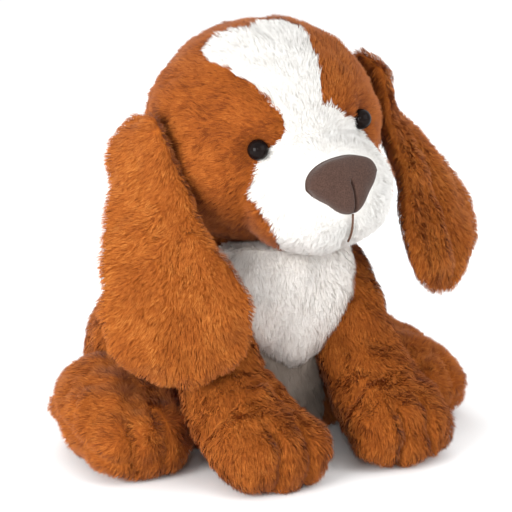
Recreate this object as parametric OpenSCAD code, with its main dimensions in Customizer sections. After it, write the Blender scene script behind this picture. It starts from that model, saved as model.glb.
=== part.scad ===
// Sitting plush puppy with long hanging ears.
// It faces -Y, its own right side is at -X, and it sits on the floor at z = 0.
// Every cover is a fabric shell of its own, closed over its own filling.
// Surfaces stand at the middle of the pile, so the fur reaches a few millimetres further.

/* [Fabric] */
// Thickness of the plush, from its backing to the middle of the pile
skin_t = 3; // [2:0.5:4]
// Gap left between pieces that lie against each other
gap = 0.5; // [0.4:0.1:0.8]

/* [Head] */
// Width of the head
head_w = 154; // [148:1:158]
// Depth of the head, without the muzzle
head_d = 140; // [134:1:144]
// Height of the head
head_h = 143; // [140:1:150]
// Height of the middle of the head above the floor
head_z = 204; // [203:0.5:208]
// How far the head leans over its right shoulder, in degrees
head_roll = 9; // [6:0.5:11]
// How far the face looks down, in degrees
face_pitch = 7; // [4:0.5:8]
// Width of the muzzle
muzzle_w = 98; // [92:1:102]
// Height of the muzzle
muzzle_h = 80; // [76:1:82]
// Depth of the muzzle
muzzle_d = 92; // [88:1:94]

/* [Eyes and nose] */
// Diameter of each eye's dome
eye_dia = 13; // [11:0.5:14]
// Distance between the middles of the eyes
eye_gap = 78; // [76:0.5:82]
// Width of the nose
nose_w = 50; // [44:1:52]
// Height of the nose
nose_h = 36; // [32:1:38]
// How far the nose stands out from the muzzle
nose_out = 13; // [9:1:15]

/* [Ears] */
// Half of an ear's width at its broadest
ear_half_w = 44; // [38:1:46]
// Half of an ear's thickness at its thickest
ear_half_t = 10; // [8:0.5:11]

/* [Legs and tail] */
// Half the width of a front leg below the shoulder
arm_r = 26; // [23:0.5:27]
// Half the width of a front paw
paw_r = 36; // [32:1:38]
// Half the height of a hind leg
thigh_r = 30; // [28:1:31]
// Radius of the tail
tail_r = 12; // [9:0.5:13]

/* [Hidden] */
$fn = 64;

RUST = [0.70, 0.39, 0.16];
DARK_RUST = [0.52, 0.27, 0.10];
WHITE = [0.97, 0.96, 0.94];
CREAM = [0.90, 0.87, 0.82];
FILLING = [0.93, 0.93, 0.90];
BROWN = [0.30, 0.22, 0.20];
BLACK = [0.04, 0.04, 0.05];
PLASTIC = [0.85, 0.85, 0.82];

RIGHT = -1;
LEFT = 1;
far = 400;
sides = 28;

head_at = [-2, -8, head_z];
neck_at = [4, -1, 138];
neck_r = 33;
neck_cut = 131;
head_cut = 150;
muzzle_at = [3, -54, -24];
nose_lift = 21;
nose_seat = 39;
eye_at_y = -58.8;
eye_at_z = 14;
eye_pitch = 11;
eye_yaw = 28;
eye_seat = 0.8;
shank_r = 2.3;
shank_l = 11;
washer_r = 8;
washer_t = 2;
velour_t = 1.2;
bib_front = -18;
belly_front = 10;
bag_at = [0, 42, 32];
bag_r = 48;
bag_h = 40;
thread_r = 0.7;
round_fn = 96;
shoulder = [50, -6, 112];
elbow = [50, -26, 80];
wrist = [52, -46, 50];
arm_room = 3.2;
wrist_room = 6.2;
hip_wall = 59;
hip_back = 70;
hip_room = 8;
tail_root = [0, 119, 28];
tail_room = 5;
leg_ends = [0.18, 0.18];

// ---- Smooth lofts -------------------------------------------------------------------

function knot(keys, i) = keys[min(max(i, 0), len(keys) - 1)];

// The point at t from 0 to 1 on a smooth curve through the keys
function along(keys, t) =
  let (
    u = t * (len(keys) - 1),
    i = min(floor(u), len(keys) - 2),
    f = u - i,
    a = knot(keys, i - 1),
    b = knot(keys, i),
    c = knot(keys, i + 1),
    d = knot(keys, i + 2)
  )
  0.5 * (2 * b + (c - a) * f + (2 * a - 5 * b + 4 * c - d) * f * f + (3 * b - a - 3 * c + d) * f * f * f);

// The share of its full radius that a loft has at t, where each round end takes a share of its length
function rounded(t, ends) =
  t < ends[0] ? sqrt(1 - pow(1 - t / ends[0], 2)) :
  t > 1 - ends[1] ? sqrt(1 - pow(1 - (1 - t) / ends[1], 2)) : 1;

// n + 1 places along a loft, closer together towards its ends
function places(n, cut) = [for (i = [0:n]) cut + (1 - 2 * cut) * (1 - cos(180 * i / n)) / 2];

// One ring. A key is [x, y, z, half width, half depth, tilt]: the width runs along X,
// and the depth runs along Y, tilted up by tilt.
function ring(key, share, inset) =
  let (
    w = max(key[3] * share - inset, 0.6),
    d = max(key[4] * share - inset, 0.6)
  )
  [for (i = [0:sides - 1])
    let (a = 360 * i / sides)
    [
      key[0] + w * cos(a),
      key[1] + d * sin(a) * cos(key[5]),
      max(key[2] + d * sin(a) * sin(key[5]), inset)
    ]
  ];

// A closed solid through rings of points
module loft(rings) {
  n = len(rings);
  m = len(rings[0]);
  polyhedron(
    points = [for (r = rings) each r],
    faces = concat(
      [[for (i = [0:m - 1]) i]],
      [for (k = [0:n - 2], i = [0:m - 1])
        let (j = (i + 1) % m)
        each [
          [k * m + i, (k + 1) * m + i, (k + 1) * m + j],
          [k * m + i, (k + 1) * m + j, k * m + j]
        ]],
      [[for (i = [m - 1:-1:0]) (n - 1) * m + i]]
    )
  );
}

// A stuffed shape through the keys. inset shrinks it on every side, and it is flat on the floor.
module stuffed(keys, ends, n, inset = 0, cut = 0) {
  loft([for (t = places(n, cut)) ring(along(keys, t), rounded(t, ends), inset)]);
}

module shell_of(keys, ends, n, cut) {
  difference() {
    stuffed(keys, ends, n);
    stuffed(keys, ends, n, skin_t, cut);
  }
}

module ball(at, r) {
  translate(at) sphere(r = r);
}

module rod(from, to, r) {
  span = to - from;
  length = norm(span);
  translate(from)
    rotate([0, acos(span[2] / length), atan2(span[1], span[0])])
      cylinder(h = length, r = r);
}

// ---- Torso --------------------------------------------------------------------------

torso_keys = [
  [0, 40, 0, 82, 64, 0],
  [0, 40, 8, 90, 71, 0],
  [0, 40, 30, 97, 75, 0],
  [0, 38, 60, 99, 76, 0],
  [0, 30, 88, 88, 73, 0],
  [0, 16, 112, 68, 63, 0],
  [0, 6, 124, 56, 54, 0],
  [0, 0, neck_cut, 45, 44, 0]
];

// The hollows where the legs and the tail are sewn on
module pockets(grow) {
  for (s = [RIGHT, LEFT]) mirror([s < 0 ? 1 : 0, 0, 0]) {
    ball(shoulder, arm_r + arm_room + grow);
    rod(shoulder, elbow, arm_r + arm_room + grow);
    ball(elbow, arm_r + arm_room + grow);
    rod(elbow, wrist, arm_r + (arm_room + wrist_room) / 2 + grow);
    ball(wrist, arm_r + wrist_room + grow);
    translate([hip_wall - grow, -far, -1]) cube([far, far + hip_back + grow, 2 * thigh_r + hip_room + grow]);
  }
  ball(tail_root, tail_r + tail_room + grow);
}

module torso(inset) {
  difference() {
    loft([for (t = [for (i = [0:15]) inset / neck_cut + (1 - 2 * inset / neck_cut) * i / 15])
      ring(along(torso_keys, t), 1, inset)]);
    pockets(inset);
  }
}

// Outlines on the front of the torso, in X and Z, grown by g
module bib_outline(g) {
  polygon([
    [-30 - g, far], [-30 - g, 124], [-42 - g, 102], [-36 - g, 82 - g], [-20 - g, 68 - g], [0, 60 - g],
    [20 + g, 68 - g], [36 + g, 82 - g], [42 + g, 102], [30 + g, 124], [30 + g, far]
  ]);
}

module belly_outline(g) {
  translate([-30 - g, -far]) square([60 + 2 * g, far + 110]);
}

module front_cut() {
  rotate([90, 0, 0]) linear_extrude(height = far) children();
}

module torso_shell() {
  difference() {
    torso(0);
    torso(skin_t);
  }
}

module back_cover() {
  color(RUST) difference() {
    torso_shell();
    translate([0, bib_front, 0]) front_cut() bib_outline(gap / 2);
    translate([0, belly_front, 0]) front_cut() belly_outline(gap / 2);
  }
}

module chest_bib() {
  color(CREAM) intersection() {
    torso_shell();
    translate([0, bib_front - gap / 2, 0]) front_cut() bib_outline(-gap / 2);
  }
}

module belly_panel() {
  color(CREAM) difference() {
    intersection() {
      torso_shell();
      translate([0, belly_front - gap / 2, 0]) front_cut() belly_outline(-gap / 2);
    }
    translate([0, bib_front, 0]) front_cut() bib_outline(gap / 2);
  }
}

module torso_filling() {
  color(FILLING) difference() {
    torso(skin_t + gap);
    translate(bag_at) cylinder(h = bag_h, r = bag_r, center = true);
  }
}

module bean_bag() {
  color(WHITE) translate(bag_at) cylinder(h = bag_h - 2 * gap, r = bag_r - gap, center = true);
}

module neck_filling() {
  color(FILLING) intersection() {
    ball(neck_at, neck_r - gap);
    translate([-far / 2, -far / 2, neck_cut + gap]) cube(far);
  }
}

// ---- Head ---------------------------------------------------------------------------

module in_head() {
  translate(head_at) rotate([0, -head_roll, 0]) children();
}

module in_face() {
  in_head() rotate([face_pitch, 0, 0]) children();
}

module skull(inset) {
  in_head() scale([head_w / 2 - inset, head_d / 2 - inset, head_h / 2 - inset])
    rotate([0, 0, 90]) sphere(r = 1, $fn = round_fn);
}

// Puts its children where the nose is sewn on, with -Y pointing out of the face
module at_nose() {
  in_face() translate(muzzle_at) rotate([-nose_lift, 0, 0]) translate([-muzzle_at[0], -nose_seat, 0]) children();
}

// Its poles lie along Y, clear of the seam around the muzzle
module muzzle(inset) {
  in_face() translate(muzzle_at)
    scale([muzzle_w / 2 - inset, muzzle_d / 2 - inset, muzzle_h / 2 - inset])
      rotate([90, 0, 0]) sphere(r = 1, $fn = round_fn);
}

// Everything of the head above its opening for the neck
module above_neck() {
  translate([-far / 2, -far / 2, head_cut]) cube(far);
}

module blaze_cut(g) {
  in_head() translate([-6, 0, 0]) rotate([52, 0, 0]) linear_extrude(height = far) {
    polygon([
      [-15 - g, -60], [-14 - g, -20], [-31 - g, 30], [-29 - g, 42 + g], [-17, 49 + g], [-5, 45 + g],
      [0, 40 + g], [5, 45 + g], [17, 49 + g], [29 + g, 42 + g], [31 + g, 30], [14 + g, -20], [15 + g, -60]
    ]);
  }
}

module skull_shell() {
  intersection() {
    difference() {
      skull(0);
      skull(skin_t);
      muzzle(-gap);
    }
    above_neck();
  }
}

module at_eye(s) {
  in_face() translate([s * eye_gap / 2, eye_at_y, eye_at_z]) rotate([-eye_pitch, 0, s * eye_yaw]) children();
}

// A disc whose axis runs into the face, from y = from to y = to
module plug(from, to, r) {
  translate([0, from, 0]) rotate([-90, 0, 0]) cylinder(h = to - from, r = r);
}

module head_side(s) {
  color(RUST) difference() {
    skull_shell();
    blaze_cut(gap / 2);
    in_head() translate([s > 0 ? gap / 2 - far : -gap / 2, -far / 2, -far / 2]) cube(far);
    at_eye(s) plug(-20, eye_seat, eye_dia / 2 + 0.8);
    at_eye(s) plug(-1, 20, shank_r + 0.3);
  }
}

module head_side_right() { head_side(RIGHT); }
module head_side_left() { head_side(LEFT); }

module blaze_panel() {
  color(WHITE) intersection() {
    skull_shell();
    blaze_cut(-gap / 2);
  }
}

module muzzle_cover() {
  color(WHITE) difference() {
    muzzle(0);
    muzzle(skin_t);
    skull(-gap);
  }
}

module head_filling() {
  color(FILLING) difference() {
    union() {
      intersection() {
        skull(skin_t + gap);
        above_neck();
      }
      muzzle(skin_t + gap);
    }
    ball(neck_at, neck_r);
    for (s = [RIGHT, LEFT]) at_eye(s) plug(-1, shank_l + 1, washer_r + gap);
  }
}

// A rounded triangle, broad at the top, that shrinks towards the front of the nose
function nose_ring(y, share, inset) =
  [for (i = [0:sides - 1])
    let (a = 360 * i / sides)
    [
      (nose_w / 2 * share - inset) * cos(a) * (0.84 + 0.24 * sin(a)),
      y,
      (nose_h / 2 * share - inset) * (sin(a) - 0.1 * cos(2 * a))
    ]
  ];

module nose_pad(inset) {
  loft([for (i = [0:8])
    let (t = sin(90 * i / 8))
    nose_ring(-gap - inset - (nose_out - 2 * inset) * t, sqrt(max(1.04 - t * t, 0)), inset)]);
}

module nose_cover() {
  color(BROWN) difference() {
    at_nose() difference() {
      nose_pad(0);
      nose_pad(velour_t);
    }
    muzzle(-gap);
  }
}

module nose_filling() {
  color(FILLING) difference() {
    at_nose() nose_pad(velour_t + gap);
    muzzle(-gap);
  }
}

// A thread that runs down the front of the muzzle from under the nose
module mouth_stitch() {
  out = thread_r + gap;
  color(DARK_RUST) in_face() translate([0, muzzle_at[1], muzzle_at[2]])
    loft([for (i = [0:10])
      let (
        a = 20 + 40 * i / 10,
        y = -(muzzle_d / 2 + out) * cos(a),
        z = -(muzzle_h / 2 + out) * sin(a)
      )
      [for (k = [0:7])
        [thread_r * cos(45 * k), y - thread_r * sin(45 * k) * cos(a), z - thread_r * sin(45 * k) * sin(a)]]
    ]);
}

module eye(s) {
  dome_r = eye_dia / 2;
  back = eye_seat - 0.3;
  color(BLACK) at_eye(s) rotate([-90, 0, 0]) {
    difference() {
      translate([0, 0, back - 0.6]) sphere(r = dome_r);
      translate([0, 0, back]) cylinder(h = 2 * dome_r, r = 2 * dome_r);
    }
    translate([0, 0, back - 1]) cylinder(h = shank_l + 1 - back, r = shank_r);
  }
}

module eye_right() { eye(RIGHT); }
module eye_left() { eye(LEFT); }

module eye_washer(s) {
  color(PLASTIC) at_eye(s) difference() {
    plug(skin_t + 1.6, skin_t + 1.6 + washer_t, washer_r);
    plug(0, 20, shank_r + 0.05);
  }
}

module eye_washer_right() { eye_washer(RIGHT); }
module eye_washer_left() { eye_washer(LEFT); }

// ---- Ears ---------------------------------------------------------------------------

// Keys are [distance from the middle of the head, y, z, half width, half thickness, heading],
// from the tip up to the root. The heading turns from facing forwards to facing sideways.
function ear_keys(out, ahead, up) = [
  [102 + out, -38 - ahead, up - 130, 0.7 * ear_half_w, 0.7 * ear_half_t, 28],
  [101 + out, -35 - ahead, up - 108, 0.95 * ear_half_w, 0.95 * ear_half_t, 28],
  [98 + out, -30 - ahead, up - 80, ear_half_w, ear_half_t, 30],
  [94 + out, -17 - ahead / 2, up / 2 - 44, 0.76 * ear_half_w, ear_half_t, 42],
  [90, -8, -12, 0.62 * ear_half_w, 0.9 * ear_half_t, 58],
  [88, -3, 14, 0.52 * ear_half_w, 0.8 * ear_half_t, 74],
  [80, -2, 30, 0.34 * ear_half_w, 0.6 * ear_half_t, 86]
];

// Half of a ring of a left ear. face is 1 for its outer face and -1 for its inner one.
function ear_half_ring(key, share, face) =
  let (
    across = [-cos(key[5]), -sin(key[5]), 0],
    out = [sin(key[5]), -cos(key[5]), 0],
    from = face > 0 ? 0 : 180
  )
  [for (i = [0:sides / 2])
    let (a = from + 360 * i / sides)
    [key[0], key[1], key[2]]
      + across * max(key[3] * share, 0.8) * cos(a)
      + out * (face * gap / 2 + max(key[4] * share, 0.8) * sin(a))
  ];

module ear_layer(s, keys, face) {
  in_head() mirror([s < 0 ? 1 : 0, 0, 0])
    loft([for (t = places(14, 0)) ear_half_ring(along(keys, t), rounded(t, [0.22, 0.14]), face)]);
}

right_ear = ear_keys(7, 21, 7);
left_ear = ear_keys(6, 0, 2);

module ear_cover_right() { color(RUST) ear_layer(RIGHT, right_ear, 1); }
module ear_lining_right() { color(DARK_RUST) ear_layer(RIGHT, right_ear, -1); }
module ear_cover_left() { color(RUST) ear_layer(LEFT, left_ear, 1); }
module ear_lining_left() { color(DARK_RUST) ear_layer(LEFT, left_ear, -1); }

// ---- Legs and tail ------------------------------------------------------------------

// From the tip of the paw up to the shoulder
function front_leg_keys(s) = [
  [s * 45, -120, 19, 0.85 * paw_r, 19, -88],
  [s * 47, -103, 22, paw_r, 23, -86],
  [s * 50, -77, 29, 0.97 * paw_r, 27, -72],
  [s * wrist[0], wrist[1], wrist[2], arm_r + 3, arm_r + 1, -50],
  [s * elbow[0], elbow[1], elbow[2], arm_r, arm_r, -32],
  [s * shoulder[0], shoulder[1], shoulder[2], arm_r, arm_r + 1, -20],
  [s * (shoulder[0] + 3), shoulder[1] + 6, shoulder[2] + 14, arm_r, arm_r, -12]
];

module front_leg_cover(s) { color(RUST) shell_of(front_leg_keys(s), leg_ends, 18, 0.04); }
module front_leg_filling(s) {
  color(FILLING) stuffed(front_leg_keys(s), leg_ends, 18, skin_t + gap, 0.046);
}

module front_leg_cover_right() { front_leg_cover(RIGHT); }
module front_leg_filling_right() { front_leg_filling(RIGHT); }
module front_leg_cover_left() { front_leg_cover(LEFT); }
module front_leg_filling_left() { front_leg_filling(LEFT); }

// From the toes back to the hip
function hind_leg_keys(s) = [
  [s * 109, -56, 20, 30, 20, -90],
  [s * 106, -34, 23, 37, 24, -90],
  [s * 103, -8, 28, 40, 0.93 * thigh_r, -90],
  [s * 99, 18, thigh_r + 1, 39, thigh_r + 1, -90],
  [s * 95, 42, thigh_r, 35, 0.94 * thigh_r, -90],
  [s * 92, 62, 0.85 * thigh_r, 27, 0.7 * thigh_r, -90]
];

module hind_leg_cover(s) { color(RUST) shell_of(hind_leg_keys(s), leg_ends, 16, 0.04); }
module hind_leg_filling(s) {
  color(FILLING) stuffed(hind_leg_keys(s), leg_ends, 16, skin_t + gap, 0.046);
}

module hind_leg_cover_right() { hind_leg_cover(RIGHT); }
module hind_leg_filling_right() { hind_leg_filling(RIGHT); }
module hind_leg_cover_left() { hind_leg_cover(LEFT); }
module hind_leg_filling_left() { hind_leg_filling(LEFT); }

tail_keys = [
  [0, tail_root[1] - tail_r, tail_root[2] - 4, tail_r, tail_r, -90],
  [0, tail_root[1] + 2, tail_root[2], tail_r, tail_r, -75],
  [0, tail_root[1] + 18, tail_root[2] + 9, 0.95 * tail_r, 0.95 * tail_r, -55],
  [0, tail_root[1] + 28, tail_root[2] + 26, 0.8 * tail_r, 0.8 * tail_r, -30]
];
tail_ends = [0.25, 0.3];

module tail_cover() { color(RUST) shell_of(tail_keys, tail_ends, 12, 0.08); }
module tail_filling() { color(FILLING) stuffed(tail_keys, tail_ends, 12, skin_t + gap, 0.09); }

back_cover();
chest_bib();
belly_panel();
torso_filling();
bean_bag();
neck_filling();
head_side_right();
head_side_left();
blaze_panel();
muzzle_cover();
head_filling();
nose_cover();
nose_filling();
mouth_stitch();
eye_right();
eye_left();
eye_washer_right();
eye_washer_left();
ear_cover_right();
ear_lining_right();
ear_cover_left();
ear_lining_left();
front_leg_cover_right();
front_leg_filling_right();
front_leg_cover_left();
front_leg_filling_left();
hind_leg_cover_right();
hind_leg_filling_right();
hind_leg_cover_left();
hind_leg_filling_left();
tail_cover();
tail_filling();
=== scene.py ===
"""Looks of a sitting plush puppy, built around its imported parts.

Every padded piece is a sewn skin with its own pile of combed strands.
Lengths are in millimetres until a mesh is written, which is in metres.
"""
import math

import bmesh
import bpy
import numpy as np
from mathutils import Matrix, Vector, kdtree


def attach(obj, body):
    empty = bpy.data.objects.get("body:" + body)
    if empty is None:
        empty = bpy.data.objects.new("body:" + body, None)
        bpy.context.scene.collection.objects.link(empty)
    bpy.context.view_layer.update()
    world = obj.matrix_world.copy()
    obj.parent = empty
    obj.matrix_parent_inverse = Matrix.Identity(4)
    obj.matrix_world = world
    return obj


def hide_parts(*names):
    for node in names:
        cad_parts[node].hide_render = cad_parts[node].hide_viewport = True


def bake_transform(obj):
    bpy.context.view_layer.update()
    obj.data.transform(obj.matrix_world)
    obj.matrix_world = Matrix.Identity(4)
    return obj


RIGHT, LEFT = -1, 1
MM = 0.001

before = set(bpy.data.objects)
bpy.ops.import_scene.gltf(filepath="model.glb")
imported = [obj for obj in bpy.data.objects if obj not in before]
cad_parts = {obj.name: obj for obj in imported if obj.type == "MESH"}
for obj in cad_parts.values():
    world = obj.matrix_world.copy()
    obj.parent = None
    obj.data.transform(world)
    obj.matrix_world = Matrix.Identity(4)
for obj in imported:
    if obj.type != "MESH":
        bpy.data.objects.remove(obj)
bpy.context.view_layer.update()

# ---- Numbers shared with the CAD part ---------------------------------------------------

HEAD_AT = np.array([-2.0, -8.0, 204.0])
HEAD_SEMI = np.array([77.0, 70.0, 71.5])
HEAD_ROLL = 9.0
FACE_PITCH = 7.0
MUZZLE_AT = np.array([3.0, -54.0, -24.0])
MUZZLE_SEMI = np.array([49.0, 46.0, 40.0])
NOSE_LIFT = 21.0
NOSE_SEAT = 39.0
EYE_R = 6.5
EYE_AT = np.array([39.0, -58.8, 14.0])
EYE_YAW, EYE_PITCH = 28, 11
TAIL_ROOT = np.array([0.0, 119.0, 28.0])

# ---- Numbers that only the looks have ---------------------------------------------------

PILE_INSET = 3.2  # how far the backing lies under the CAD surface
MOUTH_X = 1.2  # the mouth's line stands a little to the left of the face's middle
EYE_SUNK = 2.3
EYE_DOME = 0.56  # how much of a ball each eye is
BARE_BELOW = 2.5  # no pile grows on what lies on the floor

# ---- Small maths ------------------------------------------------------------------------


def turn(axis, degrees):
    """Rotation matrix about one of the axes x, y, z."""
    c, s = math.cos(math.radians(degrees)), math.sin(math.radians(degrees))
    if axis == "x":
        return np.array([[1, 0, 0], [0, c, -s], [0, s, c]])
    if axis == "y":
        return np.array([[c, 0, s], [0, 1, 0], [-s, 0, c]])
    return np.array([[c, -s, 0], [s, c, 0], [0, 0, 1]])


HEAD_TURN = turn("y", -HEAD_ROLL)
FACE_TURN = HEAD_TURN @ turn("x", FACE_PITCH)


def unit(v):
    """Rows of v at a length of 1."""
    return v / np.maximum(np.linalg.norm(v, axis=-1, keepdims=True), 1e-9)


def ease(low, high, x):
    """A smooth step from 0 at low to 1 at high."""
    t = np.clip((x - low) / (high - low), 0, 1)
    return t * t * (3 - 2 * t)


def bump(distance, width):
    """A soft hill: 1 at no distance, and next to 0 beyond twice the width."""
    return np.exp(-((distance / width) ** 2))


def smooth_max(a, b, width):
    """The larger of two surfaces, blended where they cross."""
    h = np.clip(0.5 + 0.5 * (a - b) / width, 0, 1)
    return b + (a - b) * h + width * h * (1 - h)


class Waves:
    """Smooth noise from -1 to 1: a few sine waves in seeded directions."""

    COUNT = 9

    def __init__(self, seed, size):
        rng = np.random.default_rng(seed)
        way = unit(rng.normal(size=(self.COUNT, 3)))
        self.k = way * (2 * math.pi / size) * rng.uniform(0.6, 1.7, (self.COUNT, 1))
        self.shift = rng.uniform(0, 2 * math.pi, self.COUNT)

    def __call__(self, p):
        return np.sin(p @ self.k.T + self.shift).sum(1) / math.sqrt(self.COUNT * 1.2)


def along(keys, t):
    """Rows of a smooth curve through the keys, for each t from 0 to 1."""
    keys = np.array(keys, float)
    u = np.asarray(t, float) * (len(keys) - 1)
    i = np.minimum(np.floor(u).astype(int), len(keys) - 2)
    f = (u - i)[:, None]
    a, b = keys[np.maximum(i - 1, 0)], keys[i]
    c, d = keys[i + 1], keys[np.minimum(i + 2, len(keys) - 1)]
    square, cube = 2 * a - 5 * b + 4 * c - d, 3 * b - a - 3 * c + d
    return 0.5 * (2 * b + (c - a) * f + square * f**2 + cube * f**3)


def rounded(t, ends):
    """How wide a limb is at t, as a share of its full width, with an elliptic cap at both ends."""
    low = np.sqrt(np.clip(1 - (1 - t / ends[0]) ** 2, 0, 1))
    high = np.sqrt(np.clip(1 - (1 - (1 - t) / ends[1]) ** 2, 0, 1))
    return np.where(t < ends[0], low, np.where(t > 1 - ends[1], high, 1.0))


# ---- Skins ------------------------------------------------------------------------------


class Skin:
    """Points and triangles of a surface, with a place (t, angle) for each point of a loft."""

    def __init__(self, points, triangles, t=None, angle=None):
        self.points, self.triangles, self.t, self.angle = points, triangles, t, angle

    def normals(self):
        p, f = self.points, self.triangles
        face = np.cross(p[f[:, 1]] - p[f[:, 0]], p[f[:, 2]] - p[f[:, 0]])
        out = np.zeros_like(p)
        for k in range(3):
            np.add.at(out, f[:, k], face)
        return unit(out)

    def push(self, amount):
        """Moves each point outwards, or inwards where the amount is below 0."""
        self.points = self.points + self.normals() * np.asarray(amount).reshape(-1, 1)


def ring_skin(rings_of, t, sides):
    """Closes rings of points from rings_of(t, angle) with a point at each end."""
    angle = np.arange(sides) * 2 * math.pi / sides
    tt, aa = np.repeat(t, sides), np.tile(angle, len(t))
    points = rings_of(tt, aa)
    n = len(t)
    k, i = np.meshgrid(np.arange(n - 1), np.arange(sides), indexing="ij")
    j = (i + 1) % sides
    a, b, c, d = k * sides + i, (k + 1) * sides + i, (k + 1) * sides + j, k * sides + j
    quads = np.concatenate([np.stack([a, c, b], -1).reshape(-1, 3), np.stack([a, d, c], -1).reshape(-1, 3)])
    first, last = n * sides, n * sides + 1
    side, following = np.arange(sides), (np.arange(sides) + 1) % sides
    start = np.stack([np.full(sides, first), following, side], -1)
    top = (n - 1) * sides
    end = np.stack([np.full(sides, last), top + side, top + following], -1)
    points = np.concatenate([points, [points[:sides].mean(0), points[top:].mean(0)]])
    return Skin(points, np.concatenate([quads, start, end]), np.append(tt, [t[0], t[-1]]), np.append(aa, [0, 0]))


def end_dense(rings):
    """Values of t from 0 to 1, closer together at both ends."""
    return (1 - np.cos(np.pi * np.linspace(0.006, 0.994, rings))) / 2


def limb_skin(keys, ends, rings, sides):
    """A stuffed limb through keys of x, y, z, half width, half depth and tilt."""

    def rings_of(tt, aa):
        key = along(keys, tt)
        share = rounded(tt, ends)
        w, d = np.maximum(key[:, 3] * share, 0.3), np.maximum(key[:, 4] * share, 0.3)
        tilt = np.radians(key[:, 5])
        x = key[:, 0] + w * np.cos(aa)
        y = key[:, 1] + d * np.sin(aa) * np.cos(tilt)
        z = key[:, 2] + d * np.sin(aa) * np.sin(tilt)
        return np.stack([x, y, z], 1)

    return ring_skin(rings_of, end_dense(rings), sides)


def orient(skin):
    """Turns the triangles to face outwards."""
    p, f = skin.points - skin.points.mean(0), skin.triangles
    volume = np.einsum("ij,ij->i", p[f[:, 0]], np.cross(p[f[:, 1]], p[f[:, 2]])).sum()
    if volume < 0:
        skin.triangles = f[:, ::-1].copy()
    return skin


def settle(skin, lowest=1.2, soft=3):
    """Flattens a skin where it rests on the floor."""
    z = skin.points[:, 2]
    pressed = lowest + soft * np.exp((np.minimum(z, lowest + soft) - lowest - soft) / soft)
    skin.points[:, 2] = np.where(z < lowest + soft, pressed, z)


# ---- Materials --------------------------------------------------------------------------


def material(name, colour, roughness=0.8, sheen=0.0, specular=0.12):
    m = bpy.data.materials.new(name)
    m.use_nodes = True
    shader = m.node_tree.nodes["Principled BSDF"]
    shader.inputs["Base Color"].default_value = (*colour, 1)
    shader.inputs["Roughness"].default_value = roughness
    shader.inputs["Specular IOR Level"].default_value = specular
    shader.inputs["Sheen Weight"].default_value = sheen
    shader.inputs["Sheen Roughness"].default_value = 0.5
    m.diffuse_color = (*colour, 1)
    return m


def add_noise(m, low, high, scale, bump_height=0.0, detail=6.0):
    """Mottles a material between two colours and roughens its surface."""
    tree = m.node_tree
    shader = tree.nodes["Principled BSDF"]
    coordinates = tree.nodes.new("ShaderNodeTexCoord")
    noise = tree.nodes.new("ShaderNodeTexNoise")
    noise.inputs["Scale"].default_value = scale
    noise.inputs["Detail"].default_value = detail
    ramp = tree.nodes.new("ShaderNodeValToRGB")
    for stop, position, colour in zip(ramp.color_ramp.elements, (0.3, 0.7), (low, high)):
        stop.position, stop.color = position, (*colour, 1)
    tree.links.new(coordinates.outputs["Object"], noise.inputs["Vector"])
    tree.links.new(noise.outputs["Fac"], ramp.inputs["Fac"])
    tree.links.new(ramp.outputs["Color"], shader.inputs["Base Color"])
    if bump_height:
        bumps = tree.nodes.new("ShaderNodeBump")
        bumps.inputs["Distance"].default_value = bump_height
        bumps.inputs["Strength"].default_value = 0.8
        tree.links.new(noise.outputs["Fac"], bumps.inputs["Height"])
        tree.links.new(bumps.outputs["Normal"], shader.inputs["Normal"])
    return m


def pile_materials(name, tones):
    """One strand colour for each slot that grow() picks from."""
    return [material(f"{name}_{i}", tone, sheen=0.06) for i, tone in enumerate(tones)]


# In each list the lower half of a strand takes one of the first three tones, from dark to light,
# and the upper half takes the last one, which is its darkest, or one of the third to the fifth.
RUST_TONES = [
    (0.18, 0.040, 0.006), (0.28, 0.066, 0.009), (0.35, 0.090, 0.012),
    (0.42, 0.118, 0.018), (0.50, 0.162, 0.029), (0.22, 0.050, 0.007),
]
WHITE_TONES = [
    (0.79, 0.77, 0.73), (0.825, 0.805, 0.77), (0.845, 0.83, 0.80),
    (0.86, 0.85, 0.82), (0.875, 0.865, 0.84), (0.81, 0.79, 0.75),
]
CREAM_TONES = [
    (0.84, 0.79, 0.73), (0.89, 0.84, 0.79), (0.91, 0.87, 0.82),
    (0.93, 0.895, 0.85), (0.94, 0.91, 0.875), (0.86, 0.81, 0.75),
]
# The belly's pile is the cream darkened into painted shade, for the shadow under the bib and between the front
# legs.
PAINTED_SHADE_BELLY_TONES = [(0.40 * r, 0.35 * g, 0.31 * b) for r, g, b in CREAM_TONES]
PILES = {
    "rust": pile_materials("rust_pile", RUST_TONES),
    "white": pile_materials("white_pile", WHITE_TONES),
    "cream": pile_materials("cream_pile", CREAM_TONES),
    "belly": pile_materials("painted_shade_belly_pile", PAINTED_SHADE_BELLY_TONES),
}
BACKINGS = {
    name: add_noise(material(name + "_backing", low, 0.9), low, high, 260, 0.0008)
    for name, low, high in (
        ("rust", (0.27, 0.068, 0.009), (0.38, 0.100, 0.013)),
        ("white", (0.76, 0.74, 0.70), (0.84, 0.82, 0.79)),
        ("cream", (0.74, 0.69, 0.64), (0.84, 0.80, 0.76)),
        # painted shade: the belly's backing is darkened like its pile
        ("belly", (0.28, 0.24, 0.20), (0.36, 0.31, 0.27)),
    )
}

VELOUR = add_noise(
    material("nose_velour", (0.09, 0.05, 0.04), 0.85, 0.12),
    (0.038, 0.019, 0.014), (0.078, 0.042, 0.031), 1400, 0.0003, 8,
)
THREAD = add_noise(
    material("mouth_thread", (0.10, 0.05, 0.03), 0.7), (0.07, 0.035, 0.02), (0.14, 0.07, 0.045), 2500, 0.0001,
)
EYE_GLOSS = add_noise(
    material("eye_gloss", (0.006, 0.004, 0.003), 0.1, specular=0.07),
    (0.005, 0.003, 0.003), (0.010, 0.006, 0.005), 300,
)

# ---- Meshes -----------------------------------------------------------------------------


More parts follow.
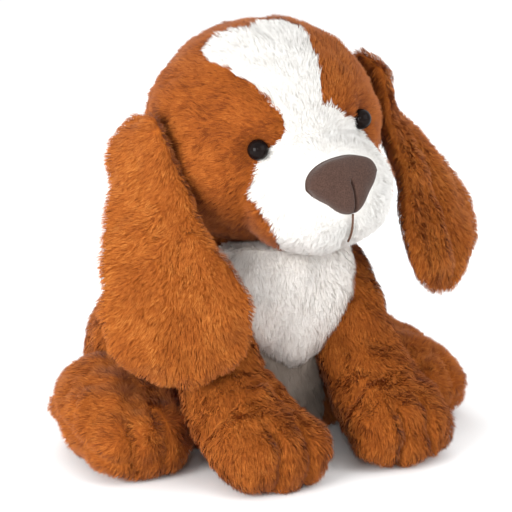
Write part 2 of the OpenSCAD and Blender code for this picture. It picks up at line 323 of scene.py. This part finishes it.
def mesh_object(name, points_mm, faces, materials, slots=None, loop_total=None):
    """A mesh from flat arrays. faces is an (n, 3) array, or a flat list of corners with loop_total."""
    mesh = bpy.data.meshes.new(name)
    if loop_total is None:
        loop_total = np.full(len(faces), 3, np.int32)
    corners = np.asarray(faces, np.int32).reshape(-1)
    start = np.concatenate([[0], np.cumsum(loop_total)[:-1]]).astype(np.int32)
    mesh.vertices.add(len(points_mm))
    mesh.vertices.foreach_set("co", (np.asarray(points_mm) * MM).astype(np.float32).ravel())
    mesh.loops.add(len(corners))
    mesh.loops.foreach_set("vertex_index", corners)
    mesh.polygons.add(len(loop_total))
    mesh.polygons.foreach_set("loop_start", start)
    mesh.polygons.foreach_set("use_smooth", np.ones(len(loop_total), bool))
    for m in materials:
        mesh.materials.append(m)
    if slots is not None:
        mesh.polygons.foreach_set("material_index", np.asarray(slots, np.int32))
    mesh.update(calc_edges=True)
    obj = bpy.data.objects.new(name, mesh)
    bpy.context.scene.collection.objects.link(obj)
    return obj


def part_of(skin, keep):
    """The triangles of a skin where keep is true, with their own points."""
    triangles = skin.triangles[keep]
    used, index = np.unique(triangles, return_inverse=True)
    return skin.points[used], index.reshape(-1, 3)


# ---- Pile -------------------------------------------------------------------------------

STRANDS_PER_CM2 = 210
STRANDS_PER_OBJECT = 60000
STRANDS_PER_CLUMP = 14
STRAND_WIDTH = 0.36
ROOT_LEAN, TIP_LEAN = 36, 64  # degrees between a strand and the normal of its skin
SWIRL_SIZE, FINE_SIZE, LEAN_SIZE, LENGTH_SIZE, TONE_SIZE = 26, 8, 14, 12, 28
DARKEST_SLOT = 5


def scatter(skin, keep, density, rng):
    """Roots spread evenly over the kept triangles of a skin, and the normal at each."""
    p, f = skin.points, skin.triangles[keep]
    area = np.linalg.norm(np.cross(p[f[:, 1]] - p[f[:, 0]], p[f[:, 2]] - p[f[:, 0]]), axis=1) / 2
    count = int(area.sum() / 100 * STRANDS_PER_CM2 * density)
    spread = (np.arange(count) + rng.random(count)) / count * area.sum()
    pick = f[np.minimum(np.searchsorted(np.cumsum(area), spread), len(f) - 1)]
    u, v = rng.random((2, count, 1))
    flip = u + v > 1
    u, v = np.where(flip, 1 - u, u), np.where(flip, 1 - v, v)

    def inside(corners):
        return corners[pick[:, 0]] * (1 - u - v) + corners[pick[:, 1]] * u + corners[pick[:, 2]] * v

    return inside(p), unit(inside(skin.normals()))


def clump_centres(root, rng):
    """For each strand, the number of the strand that its clump gathers round."""
    centres = rng.choice(len(root), max(len(root) // STRANDS_PER_CLUMP, 1), replace=False)
    tree = kdtree.KDTree(len(centres))
    for k, c in enumerate(centres):
        tree.insert(root[c], k)
    tree.balance()
    return centres[np.fromiter((tree.find(r)[1] for r in root), int, len(root))]


def tone_slots(root, near, seed, tone, rng):
    """The material slots of each strand's lower and upper half."""
    shade = 0.35 * Waves(seed, TONE_SIZE)(root)
    shade = shade + 0.3 * rng.normal(size=len(root))[near] + 0.25 * rng.normal(size=len(root))
    if tone is not None:
        shade = shade + tone(root)
    low = np.select([shade < -0.8, shade < 0.5], [0, 1], 2)
    high = np.select([shade < -1.0, shade < -0.1, shade < 0.8], [DARKEST_SLOT, 2, 3], 4)
    return np.stack([low, high], 1)


def grow(name, skin, keep, pile, length, comb, seed, density=1.0, clump=0.42, tone=None, where=None):
    """Strands of pile on the kept triangles of a skin, in objects that stay light.

    length(points) gives each strand's length, comb(points) the way that it is brushed,
    tone(points) how light it is, and where(points) the places that it may grow from.
    clump is how far the tips of neighbours pull together.
    """
    rng = np.random.default_rng(seed)
    root, normal = scatter(skin, keep, density, rng)
    if where is not None:
        grows = where(root)
        root, normal = root[grows], normal[grows]
    count = len(root)

    swirl = np.stack([Waves(seed + k, SWIRL_SIZE)(root) for k in (1, 2, 3)], 1)
    fine = np.stack([Waves(seed + k, FINE_SIZE)(root) for k in (4, 5, 6)], 1)
    way = comb(root) + 0.26 * swirl + 0.16 * fine + rng.normal(scale=0.12, size=(count, 3))
    way = unit(way - normal * (way * normal).sum(1, keepdims=True))
    long = length(root) * (1 + 0.12 * Waves(seed + 7, LENGTH_SIZE)(root) + rng.normal(scale=0.10, size=count))
    long = np.clip(long, 0.6, 14)[:, None]
    low_lean, high_lean = (
        np.radians(angle + 10 * Waves(seed + k, LEAN_SIZE)(root) + rng.normal(scale=7, size=count))[:, None]
        for angle, k in ((ROOT_LEAN, 8), (TIP_LEAN, 9))
    )
    middle = root + long * 0.5 * (normal * np.cos(low_lean) + way * np.sin(low_lean))
    tip = middle + long * 0.5 * (normal * np.cos(high_lean) + way * np.sin(high_lean))

    near = clump_centres(root, rng)
    pull = clump * (0.6 + 0.8 * rng.random((count, 1)))
    tip = tip + (tip[near] + (root - root[near]) * 0.3 - tip) * np.clip(pull, 0, 0.95)
    middle = middle + (middle[near] + (root - root[near]) * 0.7 - middle) * pull * 0.5

    for point in (middle, tip):
        point[:, 2] = np.maximum(point[:, 2], 0.5 + 0.8 * rng.random(count))

    side = unit(np.cross(tip - root, normal))
    twist = rng.uniform(-1.2, 1.2, (count, 1))
    side = unit(side * np.cos(twist) + normal * np.sin(twist)) * STRAND_WIDTH / 2
    side = side * rng.uniform(0.7, 1.3, (count, 1))
    corners = np.stack([root - side, root + side, middle - side * 0.8, middle + side * 0.8, tip], 1)
    points_each = corners.shape[1]
    slots = tone_slots(root, near, seed + 10, tone, rng)
    soft = unit(normal + 0.12 * way)

    coats = []
    for k, some in enumerate(np.array_split(np.arange(count), count // STRANDS_PER_OBJECT + 1)):
        base = np.arange(len(some))[:, None] * points_each
        faces = np.concatenate([base + [0, 1, 3, 2], base + [2, 3, 4]], 1).ravel()
        coat = mesh_object(
            f"{name}_{k}", corners[some].reshape(-1, 3), faces, PILES[pile], slots[some].ravel(),
            np.tile([4, 3], len(some)),
        )
        normals = np.repeat(soft[some], points_each, axis=0).astype(np.float32)
        coat.data.normals_split_custom_set_from_vertices(normals)
        coats.append(coat)
    return coats


def place(obj, body, bend=None):
    """Puts a piece on a body; a piece given a bend keeps its place, with its transform baked into its mesh."""
    if bend is None:
        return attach(obj, body)
    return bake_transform(obj)


def upholster(name, skin, keep, pile, slot, stands_for, body, bend=None, fill=0.85, bare=None, **fur):
    """One sewn piece: its backing, and the pile that grows on it except where it is bare."""
    points, triangles = part_of(skin, keep)
    backing = mesh_object(name + "_skin", points, triangles, [BACKINGS[pile]])
    hairy = np.ones(len(keep), bool) if "where" in fur else keep
    if bare is not None:
        hairy = hairy & ~bare
    coats = grow(name + "_pile", skin, hairy, pile, **fur)
    for obj in (backing, *coats):
        place(obj, body, bend)
    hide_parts(*stands_for)


DOWN = np.array([0.0, 0.0, -1.0])


def constant(value):
    """A function of points that always gives the same length, or the same way to comb."""
    return lambda p: np.tile(value, (len(p), 1)) if np.ndim(value) else np.full(len(p), float(value))


# ---- Head -------------------------------------------------------------------------------


def ray_to_ellipsoid(way, centre, semi):
    """How far a ray from the origin runs before it leaves an ellipsoid, or 0 where it misses."""
    a = ((way / semi) ** 2).sum(1)
    b = (way * centre / semi**2).sum(1)
    c = ((centre / semi) ** 2).sum() - 1
    inside = b * b - a * c
    return np.where(inside > 0, (b + np.sqrt(np.maximum(inside, 0))) / a, 0)


def to_head(p):
    return (p - HEAD_AT) @ HEAD_TURN


def to_face(p):
    return (p - HEAD_AT) @ FACE_TURN


def from_face(p):
    return p @ FACE_TURN.T + HEAD_AT


def eye_place(side):
    """The eye's middle in the face's axes, and the way that it looks."""
    return EYE_AT * [side, 1, 1], turn("z", side * EYE_YAW) @ turn("x", -EYE_PITCH) @ np.array([0.0, -1.0, 0.0])


NOSE_TURN = turn("x", -NOSE_LIFT)
NOSE_AT = NOSE_TURN @ np.array([-MUZZLE_AT[0], -NOSE_SEAT, 0.0]) + MUZZLE_AT
NOSE_W, NOSE_H, NOSE_OUT = 50.0, 36.0, 13.0


def to_nose(face_points):
    return (face_points - NOSE_AT) @ NOSE_TURN


def nose_outline(angle):
    """A rounded triangle, flat at the top: x and z of its outline."""
    high = np.sin(angle)
    low_side = np.clip((high + 1) / 1.2, 0, 1) ** 0.62
    top_side = np.clip(1 - (np.maximum(high - 0.2, 0) / 0.8) ** 2, 0, 1) ** 0.42
    half = np.where(high < 0.2, low_side, top_side)
    return NOSE_W / 2 * np.sign(np.cos(angle)) * half, NOSE_H / 2 * high


def nose_reach(q):
    """How far across the nose a point is: 1 on its outline."""
    x, z = nose_outline(np.linspace(0, 2 * math.pi, 360, endpoint=False))
    rim = np.interp(np.arctan2(q[:, 2], q[:, 0]), np.arctan2(z, x), np.hypot(x, z), period=2 * math.pi)
    return np.hypot(q[:, 0], q[:, 2]) / rim


# How deep each hollow or seam of the head is, and how high each swelling.
EYE_HOLLOW, MOUTH_FURROW, CROWN_SEAM, MUZZLE_SEAM = 4.2, 2.6, 2.0, 1.6
BROW_SWELL, CHEEK_SWELL = 2.2, 2.0


def head_skin():
    """Skull and muzzle as one skin, with its hollows, seams and swellings."""
    bm = bmesh.new()
    bmesh.ops.create_icosphere(bm, subdivisions=6, radius=1)
    way = unit(np.array([v.co for v in bm.verts]))
    triangles = np.array([[v.index for v in f.verts] for f in bm.faces])
    bm.free()
    skull = 1 / np.linalg.norm((way @ turn("x", FACE_PITCH).T) / HEAD_SEMI, axis=1)
    muzzle = ray_to_ellipsoid(way, MUZZLE_AT, MUZZLE_SEMI)
    p = way * smooth_max(skull, muzzle, 6)[:, None]
    dent = np.zeros(len(p))
    for side in (RIGHT, LEFT):
        eye = eye_place(side)[0]
        dent += EYE_HOLLOW * bump(np.linalg.norm((p - eye) * [1, 1, 0.75], axis=1), 10)
        dent -= BROW_SWELL * bump(np.linalg.norm(p - [side * 30, -58, 34], axis=1), 16)
        dent -= CHEEK_SWELL * bump(np.linalg.norm(p - [side * 26, -88, -36], axis=1), 20)
    mouth = bump(p[:, 0] - MOUTH_X, 3.2) * ease(-68, -76, p[:, 1]) * ease(-24, -32, p[:, 2])
    dent += MOUTH_FURROW * mouth
    dent += CROWN_SEAM * bump(p[:, 0], 3) * ease(20, 40, p[:, 2]) * ease(-38, -20, p[:, 1])
    dent += 0.7 * Waves(11, 34)(p) + 0.35 * Waves(12, 12)(p)
    seam = np.abs(muzzle - skull + 1.5)
    dent += MUZZLE_SEAM * bump(seam, 3.5)
    skin = orient(Skin(from_face(p), triangles))
    skin.push(-dent - PILE_INSET)
    return skin


def in_blaze(p):
    """The white strip over the forehead, with two round lobes at its upper end."""
    q = (to_head(p) - [-6, 0, 0]) @ turn("x", 52)
    u, v = q[:, 0], q[:, 1]
    half = np.interp(v, [-60, -20, 30], [15, 14, 31])
    strip = (np.abs(u) < half + 0.6 * Waves(21, 9)(p)) & (v < 32)
    lobes = (np.hypot(np.abs(u) - 14, v - 32) < 18 + 0.6 * Waves(22, 9)(p))
    return (q[:, 2] > 0) & (strip | lobes)


MUZZLE_LEVELS = [-66, -60, -52, -37, -23, -12, 3, 17, 29, 33]
MUZZLE_HALF_WIDTHS = [14, 22, 30, 38, 43, 43, 39, 26, 13, 0]


def in_muzzle(p):
    """The white front of the face, which narrows upwards into the blaze."""
    q = to_face(p)
    half = np.interp(q[:, 2], MUZZLE_LEVELS, MUZZLE_HALF_WIDTHS) + 0.5 * Waves(23, 9)(p)
    return (np.abs(q[:, 0] - 1) < half) & (q[:, 1] < -25 - 37 * ease(-38, -52, q[:, 2]))


HEAD_PIECES = {
    "muzzle_cover": in_muzzle,
    "blaze_panel": lambda p: in_blaze(p) & ~in_muzzle(p),
    "head_side_right": lambda p: (to_head(p)[:, 0] < 0) & ~in_blaze(p) & ~in_muzzle(p),
    "head_side_left": lambda p: (to_head(p)[:, 0] >= 0) & ~in_blaze(p) & ~in_muzzle(p),
}


def face_comb(p):
    """Away from the nose, and a little downwards."""
    return unit(unit(to_face(p) - NOSE_AT) @ FACE_TURN.T + 0.45 * DOWN)


def head_length(full):
    """The pile is clipped short round the eyes, the mouth's line and the nose."""
    def length(p):
        q = to_face(p)
        long = np.full(len(p), float(full))
        for side in (RIGHT, LEFT):
            long *= 0.55 + 0.45 * ease(EYE_R, 2 * EYE_R, np.linalg.norm(q - eye_place(side)[0], axis=1))
        stitch = np.hypot(q[:, 0] - MOUTH_X, np.maximum(-q[:, 2] - 52, 0))
        long *= np.where((q[:, 1] < -66) & (q[:, 2] < -20), 0.35 + 0.65 * ease(1, 6, stitch), 1)
        n = to_nose(q)
        long *= np.where(n[:, 1] < 14, 0.25 + 0.75 * ease(0.98, 1.5, nose_reach(n)), 1)
        return long

    return length


def head_painted_shade(p):
    """Painted shade: darker pile in the hollow around each eye, and on the dog's right side of the head, which
    faces the key lamp.
    """
    q = to_face(p)
    hollows = sum(
        bump(np.linalg.norm((q - eye_place(side)[0]) * [1, 1, 0.7], axis=1), 9.5) for side in (RIGHT, LEFT)
    )
    return -0.45 * ease(10, -30, q[:, 0]) - 2.2 * hollows


def make_head():
    """The head's four sewn pieces, all cut from one skin."""
    skin = head_skin()
    middle = skin.points[skin.triangles].mean(1)
    n = to_nose(to_face(middle))
    bare = (nose_reach(n) < 0.9) & (n[:, 1] < 14)
    for name, pile, slot, inside, full in (
        ("head_side_right", "rust", "rust_plush", (), 6.5),
        ("head_side_left", "rust", "rust_plush", ("head_filling",), 6.5),
        ("blaze_panel", "white", "white_plush", (), 5.5),
        ("muzzle_cover", "white", "white_plush", (), 5.0),
    ):
        where = HEAD_PIECES[name]
        # tone paints shade into the pile round the eyes and on the head's right side
        upholster(
            name, skin, where(middle), pile, slot, (name, *inside), "head", fill=0.9, bare=bare,
            length=head_length(full), comb=face_comb, seed=len(name) * 7, where=where, tone=head_painted_shade,
            clump=0.22 if pile == "white" else 0.36,
        )


def make_nose():
    """A padded velour nose with a seam from its middle down."""
    sides, rings = 240, 60
    s = np.linspace(-0.3, 1, rings)
    s = np.where(s < 0, s, np.sin(s * math.pi / 2))

    def rings_of(tt, aa):
        out = np.clip(tt, 0, 1)
        share = np.maximum((1 - out**2.5) ** 0.5, 0.01)
        x, z = nose_outline(aa)
        y = -0.5 - (NOSE_OUT - 1) * tt
        return np.stack([x * share, y, z * share], 1)

    skin = orient(ring_skin(rings_of, s, sides))
    p = skin.points
    seam = bump(p[:, 0], 0.9) * ease(5, 1, p[:, 2]) * ease(0, -3, p[:, 1])
    lobes = bump(np.abs(p[:, 0]) - 6, 5) * ease(6, -4, p[:, 2])
    skin.push(0.8 * lobes - 2.2 * seam + 0.25 * Waves(31, 16)(p) - 0.6)
    skin.points = from_face(skin.points @ NOSE_TURN.T + NOSE_AT)
    nose = mesh_object("nose_pad", skin.points, skin.triangles, [VELOUR])
    place(nose, "head")
    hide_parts("nose_cover", "nose_filling")


def tube(name, points, radius, m, sides=10):
    """A round thread along points."""
    points = np.asarray(points, float)
    ahead = unit(np.gradient(points, axis=0))
    across = unit(np.cross(ahead, [0.3, 1.0, 0.1]))
    above = np.cross(ahead, across)
    angle = np.arange(sides) * 2 * math.pi / sides
    c, s = np.cos(angle)[None, :, None], np.sin(angle)[None, :, None]
    rim = points[:, None] + radius * (across[:, None] * c + above[:, None] * s)
    n = len(points)
    k, i = np.meshgrid(np.arange(n - 1), np.arange(sides), indexing="ij")
    j = (i + 1) % sides
    faces = np.stack([k * sides + i, (k + 1) * sides + i, (k + 1) * sides + j, k * sides + j], -1).reshape(-1)
    return mesh_object(name, rim.reshape(-1, 3), faces, [m], loop_total=np.full((n - 1) * sides, 4))


def make_mouth():
    """Two plies of thread, twisted round each other, from under the nose to the chin."""
    ply_radius, ply_offset, turns, sunk = 0.42, 0.34, 11, 1.3
    a = np.radians(np.linspace(3, 38, 130))
    across = np.array([1.0, 0, 0])
    out = np.stack([np.zeros_like(a), -np.cos(a), -np.sin(a)], 1)
    line = np.stack([
        0.3 + 4.5 * np.sin(a) ** 2,
        MUZZLE_AT[1] - MUZZLE_SEMI[1] * np.cos(a),
        MUZZLE_AT[2] - MUZZLE_SEMI[2] * np.sin(a),
    ], 1)
    plies = []
    for k in range(2):
        twist = np.linspace(0, turns * 2 * math.pi, len(a)) + math.pi * k
        round_it = across * np.cos(twist)[:, None] + out * np.sin(twist)[:, None]
        ply = line + ply_offset * round_it - sunk * out
        plies.append(tube(f"mouth_thread_{k}", from_face(ply), ply_radius, THREAD))
    for obj in plies:
        place(obj, "head")
    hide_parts("mouth_stitch")


def make_eye(side, name):
    """A domed eye that stands for its washer too, which is hidden inside the head."""
    eye, look = eye_place(side)
    rings, sides = 36, 64
    across = unit(np.cross(look, [0, 0, 1.0]))
    above = np.cross(across, look)

    def rings_of(tt, aa):
        polar = tt * EYE_DOME * math.pi
        outwards = across * np.cos(aa)[:, None] + above * np.sin(aa)[:, None]
        way = look * np.cos(polar)[:, None] + np.sin(polar)[:, None] * outwards
        return eye - look * EYE_SUNK + EYE_R * way

    skin = orient(ring_skin(rings_of, np.linspace(0.01, 1, rings), sides))
    obj = mesh_object(f"{name}_dome", from_face(skin.points), skin.triangles, [EYE_GLOSS])
    place(obj, "head")
    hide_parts(name, name.replace("eye", "eye_washer"))


# ---- Ears -------------------------------------------------------------------------------


def ear_keys(out, ahead, up):
    """Distance from the head's middle, y, z, half width, half thickness and heading, from the tip up."""
    return [
        [98 + out, -38 - ahead, up - 130, 28.5, 7.0, 28],
        [101 + out, -35 - ahead, up - 108, 41.8, 9.5, 28],
        [98 + out, -30 - ahead, up - 80, 44.0, 10.0, 30],
        [94 + out, -17 - ahead / 2, up / 2 - 44, 33.4, 10.0, 42],
        [90, -8, -12, 27.3, 9.0, 58],
        [88, -3, 14, 22.9, 8.0, 74],
        [80, -2, 30, 15.0, 6.0, 86],
    ]


def make_ear(side, word, keys, seed, fold_depth):
    """One hanging ear: a cover outside and a lining inside, creased along its middle."""
    def to_world(p):
        return (p * [side, 1, 1]) @ HEAD_TURN.T + HEAD_AT

    def rings_of(tt, aa):
        key = along(keys, tt)
        share = rounded(tt, (0.22, 0.14))
        heading = np.radians(key[:, 5])
        across = np.stack([-np.cos(heading), -np.sin(heading), 0 * tt], 1)
        out = np.stack([np.sin(heading), -np.cos(heading), 0 * tt], 1)
        w = np.maximum(key[:, 3] * share - 2.5, 0.4)
        d = np.maximum(key[:, 4] * share - PILE_INSET, 0.4)
        wide = np.sign(np.cos(aa)) * np.abs(np.cos(aa)) ** 0.85
        fold = 1.6 * np.cos(aa) ** 2 * np.sin(tt * 9 + seed) * ease(1, 0.5, tt)
        crease = -fold_depth * bump(wide - 0.1, 0.13) * np.where(np.sin(aa) > 0, 1, 0.5) * ease(0.9, 0.7, tt)
        lift = d * np.sin(aa) + fold + np.where(d > 2, crease, 0)
        return to_world(key[:, :3] + across * (w * wide)[:, None] + out * lift[:, None])

    skin = orient(ring_skin(rings_of, end_dense(130), 120))
    skin.push(1.2 * Waves(seed, 32)(skin.points) + 0.5 * Waves(seed + 1, 12)(skin.points) + 0.6)
    outer = np.sin(skin.angle)[skin.triangles].mean(1) > 0
    tip = to_world(along(keys, skin.t[:1])[:, :3])

    def comb(p):
        """Down, and away from the plumb line through the ear's tip."""
        aside = (p - tip) * [1, 1, 0]
        return DOWN + 0.022 * aside

    top, low = to_world(np.array([80.0, -2, 38])), to_world(np.array([88.0, -3, 8]))
    for name, keep, slot, full, tone, density in (
        # The cover's tone of 0.35 is painted light that brightens the ears; the lining's -0.4 is its own darker
        # rust.
        ("ear_cover", outer, "rust_plush", 6.2, 0.35, 1.0),
        ("ear_lining", ~outer, "dark_rust_plush", 5.5, -0.4, 0.9),
    ):
        upholster(
            f"{name}_{word}", skin, keep, "rust", slot, (f"{name}_{word}",), f"ear_{word}",
            bend=("head", top, low), fill=0.4, length=constant(full), comb=comb, seed=seed + 5,
            tone=constant(tone), density=density,
        )


# ---- Torso, legs and tail ---------------------------------------------------------------

# Each key: x, y, z, half width and half depth of a level of the torso.
TORSO_KEYS = [
    [0, 40, 0, 82, 64], [0, 40, 8, 90, 71], [0, 40, 30, 97, 75], [0, 38, 60, 99, 76],
    [0, 30, 88, 88, 73], [0, 16, 112, 68, 63], [0, 6, 124, 56, 54], [0, 0, 131, 45, 44],
]
BIB_AT, BIB_HALF_W, BIB_HALF_H, BIB_BULGE = (8, 98), 50, 42, 11


def in_bib(x, z):
    """How far across the bib a place on the chest is: 1 on its outline."""
    narrow = np.interp(z, [57, 70, 84, 100], [0.45, 0.70, 0.92, 1])
    return np.hypot((x - BIB_AT[0]) / (BIB_HALF_W * narrow), np.minimum(z - BIB_AT[1], 0) / BIB_HALF_H)


def make_torso():
    """The torso's skin, cut into the back, the swelling bib and the belly panel under it."""
    def rings_of(tt, aa):
        x, y, z, half_width, half_depth = along(TORSO_KEYS, tt).T
        return np.stack([x + half_width * np.cos(aa), y + half_depth * np.sin(aa), z], 1)

    skin = orient(ring_skin(rings_of, np.linspace(0, 1, 120), 260))
    p = skin.points
    crease = bump(p[:, 2] - 40 - 10 * np.cos(p[:, 0] / 40), 4) * ease(0, 40, p[:, 1])
    front = ease(0, -14, p[:, 1])
    bulge = BIB_BULGE * np.sqrt(np.clip(1 - in_bib(p[:, 0], p[:, 2]) ** 2, 0, 1)) * front
    skin.push(bulge - PILE_INSET - 1.5 * crease + 1.2 * Waves(41, 50)(p) + 0.5 * Waves(42, 15)(p))
    settle(skin)
    middle, before = skin.points[skin.triangles].mean(1), p[skin.triangles].mean(1)
    bib = (in_bib(before[:, 0], before[:, 2]) < 1 + 0.01 * Waves(43, 10)(middle)) & (before[:, 1] < -10)
    belly = (np.abs(before[:, 0]) < 34) & (before[:, 1] < 10) & (before[:, 2] <= 100) & ~bib
    for name, keep, pile, slot, inside, length in (
        ("back_cover", ~bib & ~belly, "rust", "rust_plush", ("torso_filling", "bean_bag"), 7.5),
        ("chest_bib", bib, "cream", "cream_plush", (), 6.5),
        # the belly panel's pile and backing carry painted shade
        ("belly_panel", belly, "belly", "cream_plush", (), 6.0),
    ):
        upholster(
            name, skin, keep, pile, slot, (name, *inside), "torso", fill=0.9, bare=middle[:, 2] < BARE_BELOW,
            length=constant(length), comb=constant(DOWN), seed=len(name) * 11,
            clump=0.42 if pile == "rust" else 0.25,
        )


def make_neck():
    """A band of rust pile between the torso and the head."""
    keys = [[4, -1, z, radius, radius, 0] for z, radius in ((116, 40), (128, 37), (140, 36), (152, 33))]
    skin = orient(limb_skin(keys, (0.1, 0.1), 40, 90))
    skin.push(-PILE_INSET)
    side = np.abs(skin.normals()[skin.triangles].mean(1)[:, 2]) < 0.8
    upholster(
        # The neck's tone of -0.6 is painted shade for its place under the head.
        "neck", skin, side, "rust", "rust_plush", ("neck_filling",), "neck",
        bend=("torso", [4, -1, 118], [4, -1, 140]), length=constant(6.0), comb=constant(DOWN),
        seed=90, density=0.6, tone=constant(-0.6),
    )


def front_leg_keys(s):
    return [
        [s * 45, -120, 19, 30.6, 19, -88], [s * 47, -103, 22, 36, 23, -86], [s * 50, -77, 29, 34.9, 27, -72],
        [s * 52, -46, 50, 29, 27, -50], [s * 52, -26, 80, 26, 26, -32], [s * 56, -2, 110, 22, 24, -20],
        [s * 58, 6, 124, 18, 18, -12],
    ]


def hind_leg_keys(s):
    return [
        [s * 109, -56, 20, 30, 20, -90], [s * 106, -34, 23, 37, 24, -90], [s * 103, -8, 28, 40, 27.9, -90],
        [s * 99, 18, 31, 39, 31, -90], [s * 95, 42, 30, 35, 28.2, -90], [s * 92, 62, 25.5, 27, 21, -90],
    ]


def toes(p, x, y, width=10.5, reach=26):
    """Two grooves that part the front of a paw, at x and y, into three toes."""
    lines = sum(bump(p[:, 0] - x - k * width - 0.02 * k * (p[:, 1] - y), 3.2) for k in (-1, 1))
    return lines * ease(y + reach, y + reach * 0.3, p[:, 1])


def make_leg(kind, side, word, seed):
    """A stuffed leg with toes, and with creases across it where it bends."""
    front = kind == "front_leg"
    keys = front_leg_keys(side) if front else hind_leg_keys(side)
    skin = orient(limb_skin(keys, (0.18, 0.18), 140, 130))
    p = skin.points
    dent = (5.0 if front else 2.6) * toes(p, keys[0][0], p[:, 1].min())
    if not front:
        level = np.interp(p[:, 1], [-50, 25], [17, 34])
        outside = ease(100, 112, np.abs(p[:, 0])) * ease(-60, -46, p[:, 1])
        dent = dent + 4.0 * bump(p[:, 2] - level, 3.5) * outside
    for k, (at, deep) in enumerate(((0.36, 3.0), (0.50, 2.0)) if front else ((0.40, 3.0),)):
        wander = 0.05 * Waves(seed + k, 50)(p)
        patchy = 0.4 + 0.6 * np.clip(Waves(seed + 3 + k, 30)(p), -1, 1)
        dent = dent + deep * bump(skin.t - at - wander, 0.022) * patchy
    skin.push(-dent - PILE_INSET + 1.6 * Waves(seed + 8, 32)(p) + 0.4 * Waves(seed + 9, 14)(p))
    settle(skin)
    flat = skin.points[skin.triangles].mean(1)[:, 2] < BARE_BELOW
    if front:
        bend = ("torso", [side * 52, 0, 128], [side * 50, -26, 84])

        def comb(p):
            """Down to the paw, and spreading over it."""
            return DOWN + [0, -0.75, 0] + 0.012 * (p - [side * 48, -60, 40]) * [1, 0, 0]
    else:
        bend = ("torso", [side * 84, 66, 28], [side * 96, 20, 28])
        comb = constant(DOWN * 0.6 + [side * 0.25, 0.55, 0])
    upholster(
        f"{kind}_{word}", skin, np.ones(len(flat), bool), "rust", "rust_plush",
        (f"{kind}_cover_{word}", f"{kind}_filling_{word}"), f"{kind}_{word}", bend=bend, bare=flat,
        length=constant(6.6), comb=comb, seed=seed + 20, clump=0.34,
    )


def make_tail():
    """A short stub that curls upwards."""
    y, z = TAIL_ROOT[1:]
    keys = [[0, y - 12, z - 4, 12, 12, -90], [0, y + 2, z, 12, 12, -75],
            [0, y + 18, z + 9, 11.4, 11.4, -55], [0, y + 28, z + 26, 9.6, 9.6, -30]]
    skin = orient(limb_skin(keys, (0.25, 0.3), 60, 60))
    skin.push(-PILE_INSET)
    upholster(
        "tail", skin, np.ones(len(skin.triangles), bool), "rust", "rust_plush", ("tail_cover", "tail_filling"),
        "tail", bend=("torso", [0, y - 10, z], [0, y + 8, z + 4]), length=constant(7.5),
        comb=constant([0, 0.5, 0.8]), seed=130,
    )


make_torso()
make_neck()
make_head()
make_nose()
make_mouth()
for eye_side, eye_word in ((RIGHT, "right"), (LEFT, "left")):
    make_eye(eye_side, f"eye_{eye_word}")
    make_leg("front_leg", eye_side, eye_word, 200 + eye_side * 10)
    make_leg("hind_leg", eye_side, eye_word, 300 + eye_side * 10)
make_ear(RIGHT, "right", ear_keys(7, 21, 7), 400, 1.2)
make_ear(LEFT, "left", ear_keys(6, 0, 2), 500, 4.5)
make_tail()

# ---- Floor, light and camera ------------------------------------------------------------

bpy.ops.mesh.primitive_plane_add(size=6, location=(0, 0, -0.0002))
floor = bpy.context.object
floor.name = "floor"
floor.data.materials.append(material("floor_paper", (0.97, 0.97, 0.97), 0.9))


def area_light(name, location, target, size, power):
    """A square lamp in metres and watts, turned to its target."""
    light = bpy.data.lights.new(name, "AREA")
    light.size, light.energy = size, power
    obj = bpy.data.objects.new(name, light)
    obj.location = location
    obj.rotation_euler = (Vector(target) - Vector(location)).to_track_quat("-Z", "Y").to_euler()
    bpy.context.scene.collection.objects.link(obj)


area_light("key", (-1.7, -0.65, 0.6), (0, 0, 0.08), 0.9, 37)
area_light("fill", (0.7, -1.5, 1.0), (0, 0, 0.15), 1.4, 13.5)
area_light("back", (0.2, 1.4, 1.3), (0, 0, 0.2), 1.2, 8)
area_light("glint", (-0.75, -1.1, 0.75), (0, 0, 0.2), 0.12, 1.6)
world = bpy.data.worlds.new("studio")
world.use_nodes = True
world.node_tree.nodes["Background"].inputs["Color"].default_value = (1, 1, 1, 1)
world.node_tree.nodes["Background"].inputs["Strength"].default_value = 1.0
bpy.context.scene.world = world
bpy.context.scene.view_settings.view_transform = "Standard"

CAMERA_AZIMUTH, CAMERA_RISE, CAMERA_AWAY, CAMERA_LENS = -31.5, 14.0, 1.3, 142
azimuth, rise = math.radians(CAMERA_AZIMUTH), math.radians(CAMERA_RISE)
back = Vector((math.cos(rise) * math.sin(azimuth), -math.cos(rise) * math.cos(azimuth), math.sin(rise)))
across = Vector((math.cos(azimuth), math.sin(azimuth), 0))
above = back.cross(across)
aim = Vector((0, -0.010, 0.140)) - across * 0.0064 - above * 0.018
camera = bpy.data.objects.new("camera", bpy.data.cameras.new("camera"))
camera.data.lens = CAMERA_LENS
camera.location = aim + back * CAMERA_AWAY
camera.rotation_euler = (-back).to_track_quat("-Z", "Y").to_euler()
bpy.context.scene.collection.objects.link(camera)
bpy.context.scene.camera = camera
